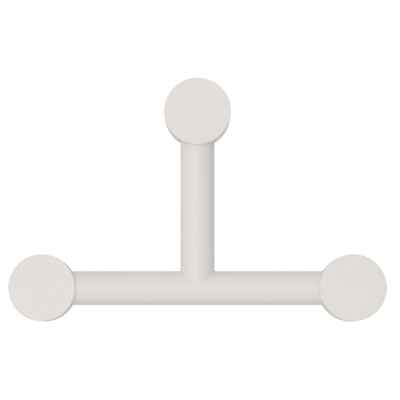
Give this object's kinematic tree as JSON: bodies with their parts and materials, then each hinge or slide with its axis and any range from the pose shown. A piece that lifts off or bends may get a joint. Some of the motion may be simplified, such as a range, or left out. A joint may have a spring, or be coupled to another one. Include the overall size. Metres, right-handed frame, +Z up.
{
  "type": "wall coat rack",
  "caption": "Wall coat rack: a crossbar and an upright of round tube form a T, with a thick round knob at each end, on concealed wall plates.",
  "frame": {"origin": "on the wall, straight behind the point where the crossbar's and the upright's axes cross", "axes": "+Z up along the upright, +X to the right along the crossbar as seen from the front, +Y into the wall, so the knobs' faces look towards -Y"},
  "size_m": [0.283, 0.085, 0.1825],
  "materials": {
    "powder_coat": "warm off-white satin powder coat on steel",
    "zinc_plate": "turned steel, zinc plated",
    "zinc_screw": "zinc plated",
    "grey_nylon": "moulded nylon",
    "dark_steel": "black oxide"
  },
  "bodies": {
    "root": {"crossbar_tube": "powder_coat", "upright_tube": "powder_coat", "knob_sleeve_left": "powder_coat", "knob_sleeve_right": "powder_coat", "knob_sleeve_top": "powder_coat", "knob_face_left": "powder_coat", "knob_face_right": "powder_coat", "knob_face_top": "powder_coat", "wall_plate_left": "zinc_plate", "wall_plate_right": "zinc_plate", "wall_plate_top": "zinc_plate", "wall_screw_left": "zinc_screw", "wall_screw_right": "zinc_screw", "wall_screw_top": "zinc_screw", "wall_plug_left": "grey_nylon", "wall_plug_right": "grey_nylon", "wall_plug_top": "grey_nylon", "grub_screw_left": "dark_steel", "grub_screw_right": "dark_steel", "grub_screw_top": "dark_steel"}
  },
  "joints": []
}
